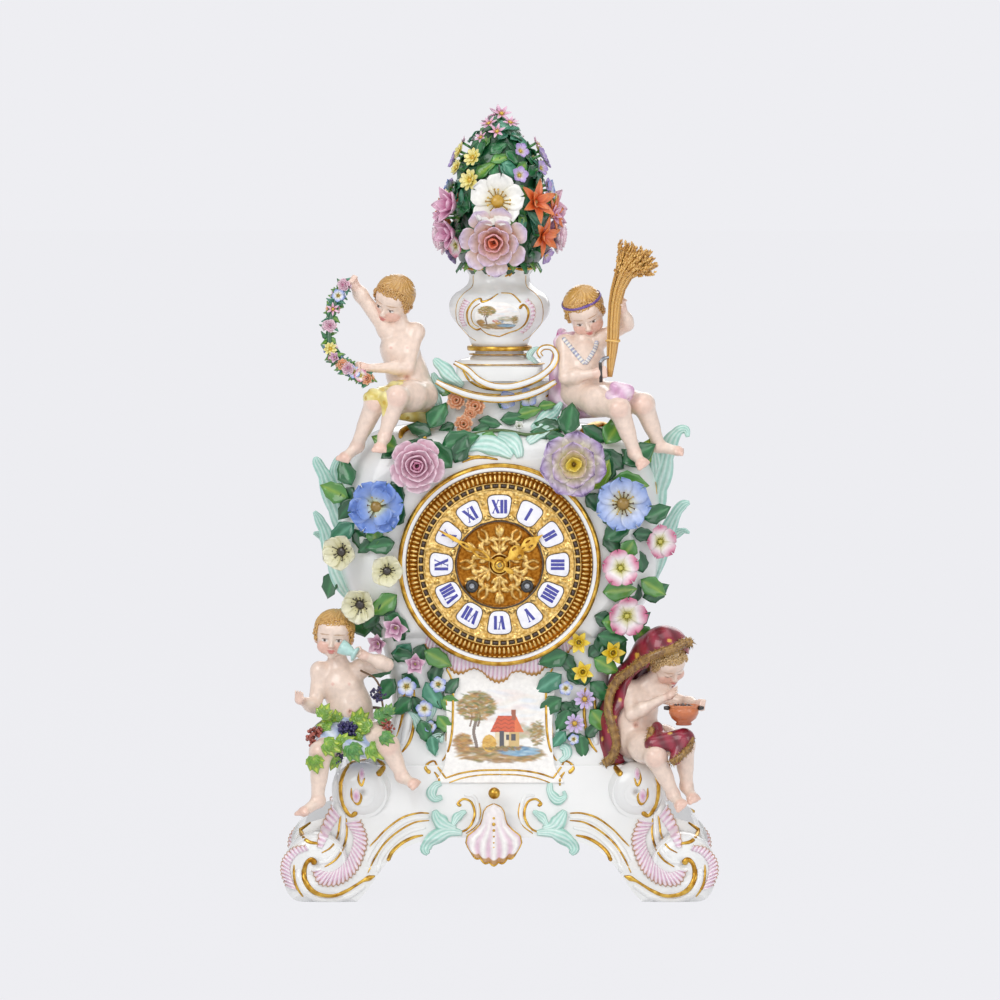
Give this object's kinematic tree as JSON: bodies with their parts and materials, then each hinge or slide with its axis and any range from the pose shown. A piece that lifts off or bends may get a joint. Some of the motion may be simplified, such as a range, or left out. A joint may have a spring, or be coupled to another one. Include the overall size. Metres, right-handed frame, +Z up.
{
  "type": "figural mantel clock",
  "caption": "Figural mantel clock in painted porcelain: round gilt dial with enamel plaques, seated children as the seasons, flower garlands, urn with a bouquet, scrolled footed base.",
  "frame": {"origin": "middle of the base's footprint, at the level of the feet", "axes": "+Z up, -Y to the front where the dial faces, +X to the viewer's right; +Z is the longest extent and +Y the shortest"},
  "size_m": [0.368, 0.2309, 0.67],
  "materials": {
    "porcelain_case": "glossy white glaze with gilding and pale green and pink painting",
    "porcelain_acanthus": "glossy pale green glaze with gilt veins",
    "porcelain_figures": "glossy flesh glaze",
    "porcelain_drapery": "glossy painted glaze",
    "porcelain_flowers": "glossy painted glaze",
    "porcelain_leaves": "glossy green glaze",
    "enamel": "glossy white enamel with dark blue numerals",
    "gilt_brass": "cast and chased, gilt",
    "movement_brass": "satin",
    "bell_metal": "turned",
    "steel": "polished"
  },
  "bodies": {
    "clock_case": {"acanthus_sprays": "porcelain_acanthus", "autumn_drape": "porcelain_drapery", "autumn_figure": "porcelain_figures", "back_plate": "movement_brass", "back_ring": "gilt_brass", "base_body": "porcelain_case", "bell": "bell_metal", "bell_stand": "steel", "bouquet_core": "porcelain_leaves", "bouquet_flowers": "porcelain_flowers", "brazier_pot": "porcelain_drapery", "case_body": "porcelain_case", "case_straps": "movement_brass", "crest_body": "porcelain_case", "crest_flowers": "porcelain_flowers", "crest_shell": "porcelain_case", "dial_bezel": "gilt_brass", "dial_plate": "gilt_brass", "drinking_cup": "porcelain_drapery", "enamel_cartouches": "enamel", "front_plate": "movement_brass", "front_shell": "porcelain_case", "left_garland_flowers": "porcelain_flowers", "left_garland_leaves": "porcelain_leaves", "picture_panel": "porcelain_case", "plate_pillars": "movement_brass", "right_garland_flowers": "porcelain_flowers", "right_garland_leaves": "porcelain_leaves", "sickle": "gilt_brass", "spring_drape": "porcelain_drapery", "spring_figure": "porcelain_figures", "spring_garland": "porcelain_flowers", "summer_drape": "porcelain_drapery", "summer_figure": "porcelain_figures", "suspension_cock": "movement_brass", "urn_tie_rod": "steel", "urn_vase": "porcelain_case", "vine_wreath": "porcelain_leaves", "wheat_sheaf": "porcelain_leaves", "winter_cloak": "porcelain_drapery", "winter_figure": "porcelain_figures"},
    "minute_hand": {"minute_hand": "gilt_brass", "cannon_pinion": "movement_brass"},
    "hour_hand": {"hour_hand": "gilt_brass", "hour_wheel": "movement_brass"},
    "minute_wheel": {"minute_wheel": "movement_brass"},
    "escape_wheel": {"escape_wheel": "movement_brass"},
    "third_wheel": {"third_wheel": "movement_brass"},
    "centre_wheel": {"centre_wheel": "movement_brass"},
    "second_wheel": {"second_wheel": "movement_brass"},
    "going_barrel": {"going_barrel": "movement_brass"},
    "strike_barrel": {"strike_barrel": "movement_brass"},
    "count_wheel": {"count_wheel": "movement_brass"},
    "going_winding_arbor": {"going_winding_arbor": "steel"},
    "strike_winding_arbor": {"strike_winding_arbor": "steel"},
    "pendulum": {"pendulum_rod": "steel", "pendulum_bob": "movement_brass"},
    "anchor": {"anchor_and_crutch": "steel"},
    "strike_hammer": {"strike_hammer": "steel"},
    "back_door": {"back_door": "gilt_brass"}
  },
  "joints": [
    {"name": "minute_hand_turn", "type": "hinge", "parent": "clock_case", "child": "minute_hand", "pos_m": [0, 0, 0.285], "axis": [0, 1, 0], "continuous": true},
    {"name": "hour_hand_turn", "type": "hinge", "parent": "clock_case", "child": "hour_hand", "pos_m": [0, 0, 0.285], "axis": [0, 1, 0], "continuous": true},
    {"name": "minute_wheel_turn", "type": "hinge", "parent": "clock_case", "child": "minute_wheel", "pos_m": [0, 0, 0.2706], "axis": [0, 1, 0], "continuous": true},
    {"name": "escape_wheel_turn", "type": "hinge", "parent": "clock_case", "child": "escape_wheel", "pos_m": [0, 0, 0.3155], "axis": [0, 1, 0], "continuous": true},
    {"name": "third_wheel_turn", "type": "hinge", "parent": "clock_case", "child": "third_wheel", "pos_m": [-0.00695, 0, 0.3016], "axis": [0, 1, 0], "continuous": true},
    {"name": "centre_wheel_turn", "type": "hinge", "parent": "clock_case", "child": "centre_wheel", "pos_m": [0, 0, 0.285], "axis": [0, 1, 0], "continuous": true},
    {"name": "second_wheel_turn", "type": "hinge", "parent": "clock_case", "child": "second_wheel", "pos_m": [0.01782, 0, 0.2913], "axis": [0, 1, 0], "continuous": true},
    {"name": "going_barrel_turn", "type": "hinge", "parent": "clock_case", "child": "going_barrel", "pos_m": [0.0235, 0, 0.2665], "axis": [0, 1, 0], "continuous": true},
    {"name": "strike_barrel_turn", "type": "hinge", "parent": "clock_case", "child": "strike_barrel", "pos_m": [-0.0235, 0, 0.2665], "axis": [0, 1, 0], "continuous": true},
    {"name": "count_wheel_turn", "type": "hinge", "parent": "clock_case", "child": "count_wheel", "pos_m": [-0.02901, 0, 0.29134], "axis": [0, 1, 0], "continuous": true},
    {"name": "going_winding_turn", "type": "hinge", "parent": "clock_case", "child": "going_winding_arbor", "pos_m": [0.0235, 0, 0.2665], "axis": [0, 1, 0], "continuous": true},
    {"name": "strike_winding_turn", "type": "hinge", "parent": "clock_case", "child": "strike_winding_arbor", "pos_m": [-0.0235, 0, 0.2665], "axis": [0, 1, 0], "continuous": true},
    {"name": "pendulum_swing", "type": "hinge", "parent": "clock_case", "child": "pendulum", "pos_m": [0, 0.003, 0.329], "axis": [0, 1, 0], "range_deg": [-4, 4]},
    {"name": "anchor_rock", "type": "hinge", "parent": "clock_case", "child": "anchor", "pos_m": [0, 0.003, 0.329], "axis": [0, 1, 0], "range_deg": [-4, 4]},
    {"name": "hammer_blow", "type": "hinge", "parent": "clock_case", "child": "strike_hammer", "pos_m": [-0.038, 0, 0.303], "axis": [0, 1, 0], "range_deg": [-2.5, 12], "stiffness_Nm_per_rad": 0.05},
    {"name": "back_door_hinge", "type": "hinge", "parent": "clock_case", "child": "back_door", "pos_m": [-0.0716, 0.0663, 0.285], "axis": [0, 0, 1], "range_deg": [0, 110]}
  ],
  "couplings": [
    {"joint": "hour_hand_turn", "follows": "minute_hand_turn", "ratio": 0.083333},
    {"joint": "minute_wheel_turn", "follows": "minute_hand_turn", "ratio": -0.33333},
    {"joint": "third_wheel_turn", "follows": "escape_wheel_turn", "ratio": -0.12121},
    {"joint": "centre_wheel_turn", "follows": "escape_wheel_turn", "ratio": 0.017316},
    {"joint": "second_wheel_turn", "follows": "escape_wheel_turn", "ratio": -0.002886},
    {"joint": "going_barrel_turn", "follows": "escape_wheel_turn", "ratio": 0.00041229},
    {"joint": "count_wheel_turn", "follows": "strike_barrel_turn", "ratio": -7},
    {"joint": "anchor_rock", "follows": "pendulum_swing", "ratio": 1}
  ]
}
